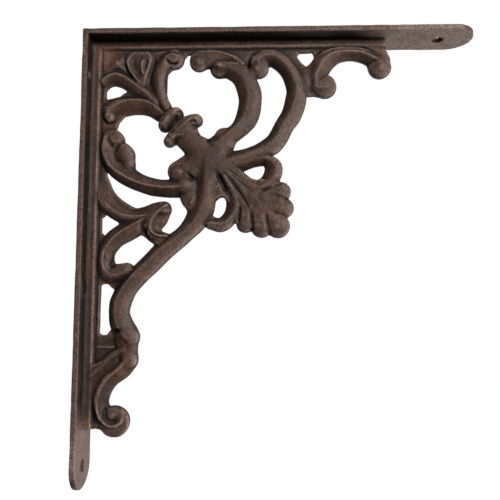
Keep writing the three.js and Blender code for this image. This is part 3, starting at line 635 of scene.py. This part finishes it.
def sheet_mesh(name, grid, top, bottom, u_axis, v_axis, origin):
    """A closed mesh over the part of the grid that lies inside, bounded by its two heights."""
    solid = grid.inside > 0
    total = solid.size
    ids = np.arange(total).reshape(solid.shape)
    flat_u, flat_v, flat_in = grid.u.ravel(), grid.v.ravel(), grid.inside.ravel()

    across = solid[:, :-1] != solid[:, 1:]
    upward = solid[:-1, :] != solid[1:, :]
    first = np.concatenate([ids[:, :-1][across], ids[:-1, :][upward]])
    second = np.concatenate([ids[:, 1:][across], ids[1:, :][upward]])
    t = np.clip(flat_in[first] / (flat_in[first] - flat_in[second]), NEAREST_CUT, 1 - NEAREST_CUT)
    cut_ids = total + np.arange(len(first))
    across_ids = np.full(across.shape, -1)
    across_ids[across] = cut_ids[:across.sum()]
    upward_ids = np.full(upward.shape, -1)
    upward_ids[upward] = cut_ids[across.sum():]
    all_u = np.concatenate([flat_u, flat_u[first] + t * (flat_u[second] - flat_u[first])])
    all_v = np.concatenate([flat_v, flat_v[first] + t * (flat_v[second] - flat_v[first])])
    near = np.where(flat_in[first] > flat_in[second], first, second)
    all_top, all_bottom = (np.concatenate([heights.ravel(), np.minimum(heights.ravel()[near], grid.rim)])
                           for heights in (top, bottom))
    faces, walls = cells_to_faces(ids, across_ids, upward_ids, solid, all_top)

    used = np.unique(faces)
    count = len(used)
    place = np.full(len(all_u), -1)
    place[used] = np.arange(count)
    faces, walls = place[faces], place[walls]
    axis_u, axis_v = np.array(u_axis, float), np.array(v_axis, float)
    up = np.cross(axis_u, axis_v)
    base = np.array(origin) + np.outer(all_u[used], axis_u) + np.outer(all_v[used], axis_v)
    points = np.concatenate([base + np.outer(all_top[used], up), base - np.outer(all_bottom[used], up)])
    a, b = walls[:, 0], walls[:, 1]
    triangles = np.concatenate([
        faces,
        faces[:, ::-1] + count,
        np.stack([b, a, a + count], 1),
        np.stack([b, a + count, b + count], 1),
    ])
    return mesh_object(name, points, triangles)


def mesh_object(name, points, triangles):
    mesh = bpy.data.meshes.new(name)
    mesh.vertices.add(len(points))
    mesh.vertices.foreach_set("co", (points * MM + [0, 0, CORNER_Z * MM]).astype(np.float32).ravel())
    mesh.loops.add(3 * len(triangles))
    mesh.loops.foreach_set("vertex_index", triangles.astype(np.int32).ravel())
    mesh.polygons.add(len(triangles))
    mesh.polygons.foreach_set("loop_start", np.arange(0, 3 * len(triangles), 3, dtype=np.int32))
    mesh.update(calc_edges=True)
    mesh.validate()
    return linked(name, mesh)


def linked(name, data):
    obj = bpy.data.objects.new(name, data)
    bpy.context.scene.collection.objects.link(obj)
    return obj


def apply_modifiers(obj):
    graph = bpy.context.evaluated_depsgraph_get()
    mesh = bpy.data.meshes.new_from_object(obj.evaluated_get(graph))
    obj.modifiers.clear()
    obj.data = mesh


def thin_out(obj, triangles):
    count = len(obj.data.polygons)
    if count > triangles:
        thin = obj.modifiers.new("thin", "DECIMATE")
        thin.ratio = triangles / count
        apply_modifiers(obj)


def coordinates(mesh):
    co = np.zeros(len(mesh.vertices) * 3, np.float32)
    mesh.vertices.foreach_get("co", co)
    return co.reshape(-1, 3)


def leg_grid(length, hole_from_end):
    """A leg's flat outline: square at the corner, half round at its free end, one screw hole."""
    half = LEG_WIDTH / 2
    grid = Grid(-LEG_STEP, length + LEG_STEP, -half - LEG_STEP, half + LEG_STEP, LEG_STEP)
    straight = np.minimum(half - np.abs(grid.v), grid.u)
    end = half - np.hypot(np.maximum(grid.u - (length - half), 0), grid.v)
    outline = np.minimum(straight, end)
    hole = np.hypot(grid.u - (length - hole_from_end), grid.v) - SCREW_HOLE / 2
    grid.inside = np.minimum(outline, hole)
    grid.rim = LEG_THICKNESS / 2 - LEG_EDGE_ROUND
    inner = np.clip(outline, 0, LEG_EDGE_ROUND)
    return grid, grid.rim + np.sqrt(LEG_EDGE_ROUND ** 2 - (LEG_EDGE_ROUND - inner) ** 2)


def leg_object(name, length, hole_from_end, u_axis, origin):
    grid, height = leg_grid(length, hole_from_end)
    height += np.minimum(uneven(grid, LEG_WAVES) - LEG_WAVES[0], 0)
    obj = sheet_mesh(name, grid, height, height, u_axis, (0, 1, 0), origin)
    thin_out(obj, LEG_TRIANGLES)
    return obj


def keep_in_box(mesh):
    """Thinning may lift a point by a hair; none stays outside the casting's outer box."""
    low = np.array([0, -LEG_WIDTH / 2, -WALL_LEG]) * MM + [0, 0, CORNER_Z * MM]
    high = np.array([SHELF_LEG, LEG_WIDTH / 2, 0]) * MM + [0, 0, CORNER_Z * MM]
    kept = np.clip(coordinates(mesh), low, high)
    mesh.vertices.foreach_set("co", kept.astype(np.float32).ravel())
    mesh.update()


def keep_leg_edges_crisp(mesh):
    """The legs' long edges turn sharply, so light isn't blended across them."""
    mesh.set_sharp_from_angle(angle=math.radians(LEG_SHARP_ANGLE))
    beside_web = np.abs(coordinates(mesh)[:, 1]) / MM > LEG_WIDTH / 2 - LEG_SIDE_STRIP
    ends = np.zeros(len(mesh.edges) * 2, np.int32)
    mesh.edges.foreach_get("vertices", ends)
    sharp = np.zeros(len(mesh.edges), bool)
    mesh.attributes["sharp_edge"].data.foreach_get("value", sharp)
    sharp &= beside_web[ends.reshape(-1, 2)].all(axis=1)
    mesh.attributes["sharp_edge"].data.foreach_set("value", sharp)


def cast_bracket():
    """The carved web and both legs, joined into one closed mesh."""
    web, front, back = carved_web()
    casting = sheet_mesh("bracket_casting", web, front, back, (1, 0, 0), (0, 0, 1), (0, 0, 0))
    thin_out(casting, WEB_TRIANGLES)
    half = LEG_THICKNESS / 2
    legs = (
        leg_object("wall_leg", WALL_LEG, WALL_HOLE_FROM_END, (0, 0, -1), (half, 0, 0)),
        leg_object("shelf_leg", SHELF_LEG, SHELF_HOLE_FROM_END, (1, 0, 0), (0, 0, -half)),
    )
    for leg in legs:
        join = casting.modifiers.new("join", "BOOLEAN")
        join.operation = "UNION"
        join.solver = "MANIFOLD"
        join.object = leg
    apply_modifiers(casting)
    for leg in legs:
        bpy.data.objects.remove(leg)
    keep_in_box(casting.data)
    return casting, web, front, back


# Where the iron is scuffed or rusty, and where shade, highlights and sheen are painted on it

# Places as x, z, reach and strength
RUST_SPOTS = [
    (10, -13, 9, 0.9), (18, -8, 6, 0.6), (9.5, -40, 4, 0.8), (12, -53, 4, 0.9), (13, -64, 4, 0.7),
    (10, -77, 4, 0.9), (11, -102, 4, 0.6), (43, -109, 5, 0.8), (26, -111, 5, 0.5), (72, -96, 7, 0.8),
    (84, -62, 7, 0.6), (98, -42, 4, 0.8), (117, -53, 6, 0.5), (110, -102, 7, 1.0), (102, -104, 5, 0.7),
    (96, -89, 5, 0.5), (47, -50, 4, 0.5), (55, -80, 6, 0.6), (34, -137, 7, 0.6), (24, -191, 6, 1.0),
    (29, -186, 4, 0.9), (118, -14, 4, 0.6), (86, -12, 5, 0.5), (166, -9, 4, 0.6), (137, -27, 5, 0.5),
    (6, -219, 5, 0.8), (150, -6, 3, 0.5), (27, -176, 5, 0.4),
]
# Painted shade in spots: dark patches on the palmette's lower lobes and in a few hollows
DARK_SPOTS = [
    (101, -115.5, 4.0, 0.75), (112, -115, 4.0, 0.75), (116, -97, 3, 0.6), (90.5, -110.5, 4, 0.45),
    (21, -10.5, 3, 0.6), (38, -16, 2.5, 0.5), (93, -15, 3, 0.5), (22, -224, 4, 0.3),
]
# Painted highlights in spots, on the palmette's lobes, its lower loop and the shelf scroll's balls
HIGHLIGHT_SPOTS = [
    (98.5, -110.3, 1.8, 0.55), (109.5, -110.8, 2.0, 0.6), (111.5, -100.5, 1.8, 0.3),
    (104.5, -85.5, 1.8, 0.35), (167, -21.5, 2.6, 0.35), (135.5, -31, 3.0, 0.3), (78, -108.8, 2.0, 0.4),
]
BACK_RUST = 0.6
CHIP_PLACE = (3.2, -8.5, -25.3)
CHIP_REACH = 0.9

# The web: reaches and heights in millimetres, the rest as shares
OUTSIDE_HEIGHT = 0.8
WIDE_REACH = 2.2
FINE_REACH = 0.8
SLOPE_REACH = 0.5
STEEP_FROM = 0.45
STEEP_OVER = 0.75
FINE_HOLLOW = 1.2
STEEP_HOLLOW = 1.15
WIDE_CREST = 0.25
FINE_CREST = 2.5
FULL_HOLLOW = 1.6
# Crests painted lighter, as scuffed iron and painted highlight
CREST_WEAR_AND_SHEEN = 0.7
LEG_SHADE_REACH = 1.1
LEG_SHADE = 0.9
BEAD_END_REACH = 6
# Painted light, brightening the strip beside the legs towards the bead's ends
BEAD_END_LIGHT = 0.3

# The legs: the channel between a leg's edge and the bead, and the tabs beyond the bead
LEG_SKIN = 0.2
# Painted shade in the channels between the legs' edges and the bead
CHANNEL_SHADE = 0.75
CHANNEL_FADE = 22
CHANNEL_PAST_X = 2
CHANNEL_PAST_Z = 4
INNER_FACE_DEPTH = 0.25
INNER_FACE_FADE = 0.2
INNER_FACE_IN = 0.5
SIDE_REACH = 1.4
SIDE_WEAR = 0.25
SIDE_TAB_WEAR = 0.35
ARRIS_FROM = 2.3
ARRIS_FADE = 0.6
ARRIS_REACH = 0.9
ARRIS_WEAR = 0.35
ARRIS_TAB_WEAR = 0.4
TAB_START_X = 12
TAB_START_Z = 8
# Painted sheen, lightening the tabs and their inner faces beyond the bead
TAB_SHEEN = 0.3
SHELF_TAB_FACE_SHEEN = 0.85
WALL_TAB_FACE_SHEEN = 0.4

# A sampled place stays this many steps short of its grid's end
SAMPLE_MARGIN = 1.001


def spots(x, z, places):
    total = np.zeros(len(x))
    for u, v, reach, strength in places:
        total = np.maximum(total, strength * np.exp(-((x - u) ** 2 + (z - v) ** 2) / reach ** 2))
    return total


def sampled(grid, field, u, v):
    """A grid's values at loose points, between its own points by straight lines."""
    fu = np.clip((u - grid.us[0]) / grid.step, 0, len(grid.us) - SAMPLE_MARGIN)
    fv = np.clip((v - grid.vs[0]) / grid.step, 0, len(grid.vs) - SAMPLE_MARGIN)
    iu, iv = fu.astype(int), fv.astype(int)
    tu, tv = fu - iu, fv - iv
    low = field[iv, iu] * (1 - tu) + field[iv, iu + 1] * tu
    high = field[iv + 1, iu] * (1 - tu) + field[iv + 1, iu + 1] * tu
    return low * (1 - tv) + high * tv


def hollow_and_crest(web, relief, carved):
    """How much each point lies lower than its surroundings or on a steep side, for painted shade, and how
    much it stands out, for scuffing and painted highlights.
    """
    covered = web.inside > 0
    height = np.where(covered, relief, OUTSIDE_HEIGHT)
    around = blur(np.maximum(carved, OUTSIDE_HEIGHT), FINE_REACH, WEB_STEP)
    slopes = np.gradient(blur(np.where(covered, carved, around), SLOPE_REACH, WEB_STEP), WEB_STEP)
    steep = unit((np.hypot(*slopes) - STEEP_FROM) / STEEP_OVER)
    hollow = blur(height, WIDE_REACH, WEB_STEP) - height
    fine = blur(height, FINE_REACH, WEB_STEP) - height
    return hollow + FINE_HOLLOW * fine + STEEP_HOLLOW * steep, -WIDE_CREST * hollow - FINE_CREST * fine


def leg_marks(x, y, z):
    """The legs' painted shade, in the channels beside the bead, and their scuffing and painted sheen, on
    edges and tabs.
    """
    from_outer = np.minimum(x, -z)
    from_side = LEG_WIDTH / 2 - np.abs(y)
    along_bead = unit((BEAD_END_X + CHANNEL_PAST_X - x) / CHANNEL_FADE)
    along_bead *= unit((z - BEAD_END_Z + CHANNEL_PAST_Z) / CHANNEL_FADE)
    inner_face = unit((from_outer - LEG_THICKNESS + INNER_FACE_DEPTH) / INNER_FACE_FADE)
    inner_face *= unit(from_side / INNER_FACE_IN)
    on_tab = unit(unit((x - BEAD_END_X) / TAB_START_X) + unit((BEAD_END_Z - z) / TAB_START_Z))
    side = unit(1 - from_side / SIDE_REACH)
    arris = unit((from_outer - ARRIS_FROM) / ARRIS_FADE) * unit(1 - from_side / ARRIS_REACH)
    wear_and_sheen = side * (SIDE_WEAR + SIDE_TAB_WEAR * on_tab) + TAB_SHEEN * on_tab
    wear_and_sheen = unit(wear_and_sheen + arris * (ARRIS_WEAR + ARRIS_TAB_WEAR * on_tab))
    # The tabs' inner faces are painted lighter, as painted sheen
    face_sheen = np.where(x > BEAD_OUTER, SHELF_TAB_FACE_SHEEN, WALL_TAB_FACE_SHEEN)
    wear_and_sheen = np.maximum(wear_and_sheen, face_sheen * inner_face * (1 - along_bead))
    # Painted shade in the channel, fading out towards the tabs
    return CHANNEL_SHADE * inner_face * along_bead, wear_and_sheen


def web_marks(web, front, back, x, y, z):
    """The web's painted shade, in hollows, on steep sides and beside the legs, and its scuffing and painted
    highlights, on crests.
    """
    is_front = y < 0
    front_marks = [sampled(web, mark, x, z) for mark in hollow_and_crest(web, front, web.relief)]
    back_marks = [sampled(web, mark, x, z) for mark in hollow_and_crest(web, back, back)]
    hollow, crest = np.where(is_front, front_marks, back_marks)
    leg_shade = unit(1 - (np.minimum(x, -z) - LEG_THICKNESS) / LEG_SHADE_REACH)
    # Painted shade in hollows, on steep sides and beside the legs
    painted_shade = unit(np.maximum(hollow / FULL_HOLLOW, LEG_SHADE * leg_shade))
    scuffs_and_highlights = np.maximum(sampled(web, web.scuff_and_sheen, x, z), spots(x, z, HIGHLIGHT_SPOTS))
    # Crests and thin ridges painted lighter, as scuffing and painted highlights
    wear_and_sheen = unit(np.maximum(CREST_WEAR_AND_SHEEN * crest * (leg_shade == 0), np.where(is_front, scuffs_and_highlights, 0)))
    bead_end = unit(1 - (BEAD_END_X - x) / BEAD_END_REACH) * (z > -BEAD_OUTER)
    bead_end += unit(1 - (z - BEAD_END_Z) / BEAD_END_REACH)
    # Painted light near the bead's ends
    end_light = BEAD_END_LIGHT * unit(bead_end) * (x < BEAD_END_X)
    return painted_shade, np.where(leg_shade < 1, np.maximum(wear_and_sheen, end_light), wear_and_sheen)


def paint(mesh, web, front, back):
    """Keeps where the iron is scuffed or rusty, and where shade, highlights and sheen are painted, as
    numbers on its points.
    """
    x, y, z = (coordinates(mesh) / MM).T
    z = z - CORNER_Z
    is_front = y < 0
    on_web = (x > LEG_THICKNESS + LEG_SKIN) & (z < -LEG_THICKNESS - LEG_SKIN)
    painted_shade, wear_and_sheen = np.where(on_web, web_marks(web, front, back, x, y, z), leg_marks(x, y, z))
    chip_x, chip_y, chip_z = CHIP_PLACE
    from_chip = (x - chip_x) ** 2 + (y - chip_y) ** 2 / 2 + (z - chip_z) ** 2
    marks = {
        # Painted shade, with spots of painted shade added on the front
        "painted_shade": np.maximum(painted_shade, np.where(is_front, spots(x, z, DARK_SPOTS), 0)),
        "wear_and_sheen": wear_and_sheen,
        "chip": np.exp(-from_chip / CHIP_REACH ** 2),
        "rust": np.where(is_front | ~on_web, 1.0, BACK_RUST) * spots(x, z, RUST_SPOTS),
    }
    for name, values in marks.items():
        attribute = mesh.attributes.new(name, "FLOAT", "POINT")
        attribute.data.foreach_set("value", values.astype(np.float32))


# The iron finish

IRON_DARK = (0.034, 0.0163, 0.0111)
IRON_LIGHT = (0.058, 0.0300, 0.0218)
RUST = (0.135, 0.057, 0.026)
# The darkest colour, for painted shade
SHADE_PAINT_COLOUR = (0.0055, 0.0028, 0.0021)
# A lighter colour, for scuffed iron and for painted highlights and sheen
RUBBED_AND_SHEEN_COLOUR = (0.220, 0.162, 0.138)
BARE = (0.42, 0.36, 0.34)
BUMP_DISTANCE = 0.0005


class Finish:
    """One material's nodes, and short ways to add to them."""

    def __init__(self, name):
        self.material = bpy.data.materials.new(name)
        self.material.use_nodes = True
        self.nodes, self.links = self.material.node_tree.nodes, self.material.node_tree.links
        self.shader = self.nodes["Principled BSDF"]
        self.place = self.nodes.new("ShaderNodeTexCoord").outputs["Object"]

    def fill(self, socket, value):
        if isinstance(value, bpy.types.NodeSocket):
            self.links.new(value, socket)
        else:
            socket.default_value = (*value, 1) if isinstance(value, tuple) else value

    def grain(self, scale, detail, rough=0.55):
        node = self.nodes.new("ShaderNodeTexNoise")
        settings = {"Scale": scale, "Detail": detail, "Roughness": rough, "Vector": self.place}
        for socket, value in settings.items():
            self.fill(node.inputs[socket], value)
        return node.outputs["Fac"]

    def attribute(self, name):
        node = self.nodes.new("ShaderNodeAttribute")
        node.attribute_name = name
        return node.outputs["Fac"]

    def ramp(self, source, low, high):
        """Colours, or greys given as one number, between two places of the source."""
        node = self.nodes.new("ShaderNodeValToRGB")
        for element, (position, colour) in zip(node.color_ramp.elements, (low, high)):
            element.position = position
            element.color = (*colour, 1) if isinstance(colour, tuple) else (colour, colour, colour, 1)
        self.fill(node.inputs["Fac"], source)
        return node.outputs["Color"]

    def mix(self, share, first, second, blend="MIX"):
        node = self.nodes.new("ShaderNodeMix")
        node.data_type = "RGBA"
        node.blend_type = blend
        for socket, value in (("Factor", share), ("A", first), ("B", second)):
            self.fill(node.inputs[socket], value)
        return node.outputs["Result"]

    def maths(self, operation, first, second, clamp=False):
        node = self.nodes.new("ShaderNodeMath")
        node.operation = operation
        node.use_clamp = clamp
        self.fill(node.inputs[0], first)
        self.fill(node.inputs[1], second)
        return node.outputs["Value"]

    def bump(self, strength, height, below=None):
        node = self.nodes.new("ShaderNodeBump")
        node.inputs["Strength"].default_value = strength
        node.inputs["Distance"].default_value = BUMP_DISTANCE
        self.fill(node.inputs["Height"], height)
        if below is not None:
            self.fill(node.inputs["Normal"], below)
        return node.outputs["Normal"]


def iron_material():
    iron = Finish("cast_iron")
    colour = iron.ramp(iron.grain(70, 4), (0.35, IRON_DARK), (0.65, IRON_LIGHT))
    patches = iron.ramp(iron.grain(32, 3), (0.42, 0.0), (0.62, 0.45))
    rusty = iron.maths("MAXIMUM", patches, iron.maths("MULTIPLY", iron.attribute("rust"), 1.2, clamp=True))
    rust_grain = iron.ramp(iron.grain(210, 5, 0.65), (0.40, 0.25), (0.62, 1.0))
    colour = iron.mix(iron.maths("MULTIPLY", rusty, rust_grain), colour, RUST)
    pores = iron.ramp(iron.grain(800, 5, 0.8), (0.38, 0.22), (0.62, 1.0))
    colour = iron.mix(1.0, colour, pores, "MULTIPLY")
    # Painted shade darkens hollows, steep sides, the legs' channels and spots
    colour = iron.mix(iron.maths("MULTIPLY", iron.attribute("painted_shade"), 1.35, clamp=True), colour, SHADE_PAINT_COLOUR)
    speckle = iron.ramp(iron.grain(950, 3, 0.6), (0.38, 0.2), (0.60, 1.0))
    # Scuffed iron, painted highlights and painted sheen lighten crests, thin ridges, spots, edges and tabs
    scuff_and_sheen = iron.maths("MULTIPLY", iron.attribute("wear_and_sheen"), 0.85, clamp=True)
    colour = iron.mix(iron.maths("MULTIPLY", scuff_and_sheen, speckle), colour, RUBBED_AND_SHEEN_COLOUR)
    colour = iron.mix(iron.attribute("chip"), colour, BARE)
    roughness = iron.ramp(iron.grain(260, 4), (0.3, 0.50), (0.7, 0.72))
    fine = iron.bump(0.55, iron.grain(800, 5, 0.6))
    coarse = iron.bump(0.4, iron.grain(230, 4), below=fine)
    settings = {"Base Color": colour, "Roughness": roughness, "IOR": 1.5, "Specular IOR Level": 0.35,
                "Normal": coarse}
    for socket, value in settings.items():
        iron.fill(iron.shader.inputs[socket], value)
    return iron.material


# Stage, light and camera, with sizes and places in metres

ROOM_HALF = 5.0
ROOM_HEIGHT = 5.0
FLOOR_LEVEL = -0.5
FLOOR_GLOW = 0.98
BACKDROP_GLOW = 1.0
FRONT_AMBIENT = 0.08
BACK_AMBIENT = 1.0
DARK_UP_TO = 0.1
BRIGHT_FROM = 0.75
LIGHT_TARGET = (0.09, 0, 0)
LIGHT_COLOUR = (1.0, 0.925, 0.885)
LIGHT_SIZE = 0.5
KEY_PLACE = (0.85, -1.15, 0.40)
KEY_POWER = 31.5
REAR_PLACE = (1.15, 0.25, -0.75)
REAR_POWER = 20
CAMERA_PLACE = (0.10431, -0.31072, -0.02506)
CAMERA_TARGET = (0.09393, 0.0, 0.00327)
CAMERA_ROLL = 0.243
CAMERA_LENS = 40.275
CAMERA_SENSOR = 36
CAMERA_NEAR = 0.01


def glowing(name, strength):
    material = bpy.data.materials.new(name)
    material.use_nodes = True
    shader = material.node_tree.nodes["Principled BSDF"]
    shader.inputs["Base Color"].default_value = (0, 0, 0, 1)
    shader.inputs["Roughness"].default_value = 0.9
    shader.inputs["Emission Color"].default_value = (1, 1, 1, 1)
    shader.inputs["Emission Strength"].default_value = strength
    return material


def staged(name, points, faces, material):
    """A plain part of the stage that only the camera sees."""
    mesh = bpy.data.meshes.new(name)
    mesh.from_pydata(points, [], faces)
    mesh.materials.append(material)
    obj = linked(name, mesh)
    obj.visible_diffuse = False
    obj.visible_glossy = False
    obj.visible_shadow = False


def floor_and_backdrop():
    """A pale floor, and a white room around it."""
    square = [(x * ROOM_HALF, y * ROOM_HALF) for x, y in ((-1, -1), (1, -1), (1, 1), (-1, 1))]
    low = [(x, y, FLOOR_LEVEL) for x, y in square]
    high = [(x, y, ROOM_HEIGHT) for x, y in square]
    sides = [(i, (i + 1) % 4, 4 + (i + 1) % 4, 4 + i) for i in range(4)]
    staged("floor", low, [(0, 1, 2, 3)], glowing("floor", FLOOR_GLOW))
    staged("backdrop", low + high, sides + [(4, 5, 6, 7)], glowing("backdrop", BACKDROP_GLOW))


def area_light(name, place, power):
    light = bpy.data.lights.new(name, "AREA")
    light.shape = "DISK"
    light.size = LIGHT_SIZE
    light.energy = power
    light.color = LIGHT_COLOUR
    obj = linked(name, light)
    obj.location = place
    obj.rotation_mode = "QUATERNION"
    obj.rotation_quaternion = (Vector(LIGHT_TARGET) - Vector(place)).to_track_quat("-Z", "Y")


def studio():
    """Two soft lamps, and a world that is dim at the front and bright behind."""
    world = bpy.data.worlds.new("studio")
    world.use_nodes = True
    nodes, links = world.node_tree.nodes, world.node_tree.links
    background = nodes["Background"]
    background.inputs["Color"].default_value = (1, 1, 1, 1)
    split = nodes.new("ShaderNodeSeparateXYZ")
    links.new(nodes.new("ShaderNodeTexCoord").outputs["Generated"], split.inputs["Vector"])
    level = nodes.new("ShaderNodeMapRange")
    level.interpolation_type = "SMOOTHSTEP"
    limits = {"From Min": DARK_UP_TO, "From Max": BRIGHT_FROM,
              "To Min": FRONT_AMBIENT, "To Max": BACK_AMBIENT}
    for socket, value in limits.items():
        level.inputs[socket].default_value = value
    links.new(split.outputs["Y"], level.inputs["Value"])
    links.new(level.outputs["Result"], background.inputs["Strength"])
    bpy.context.scene.world = world
    bpy.context.scene.view_settings.view_transform = "Standard"
    area_light("key", KEY_PLACE, KEY_POWER)
    area_light("rear_low", REAR_PLACE, REAR_POWER)


def camera():
    """The photograph's camera, with its own place and its small roll."""
    data = bpy.data.cameras.new("camera")
    data.lens = CAMERA_LENS
    data.sensor_width = CAMERA_SENSOR
    data.clip_start = CAMERA_NEAR
    place = Vector(CAMERA_PLACE)
    forward = (Vector(CAMERA_TARGET) - place).normalized()
    right = forward.cross(Vector((0, 0, 1))).normalized()
    up = right.cross(forward)
    roll = math.radians(CAMERA_ROLL)
    turned_right = math.cos(roll) * right + math.sin(roll) * up
    turned_up = -math.sin(roll) * right + math.cos(roll) * up
    axes = Matrix((turned_right, turned_up, -forward)).transposed().to_4x4()
    obj = linked("camera", data)
    obj.matrix_world = Matrix.Translation(place) @ axes
    bpy.context.scene.camera = obj


casting, web, front, back = cast_bracket()
paint(casting.data, web, front, back)
casting.data.materials.clear()
casting.data.materials.append(iron_material())
casting.data.shade_smooth()
keep_leg_edges_crisp(casting.data)
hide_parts("bracket")
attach(casting, "root")

floor_and_backdrop()
studio()
camera()
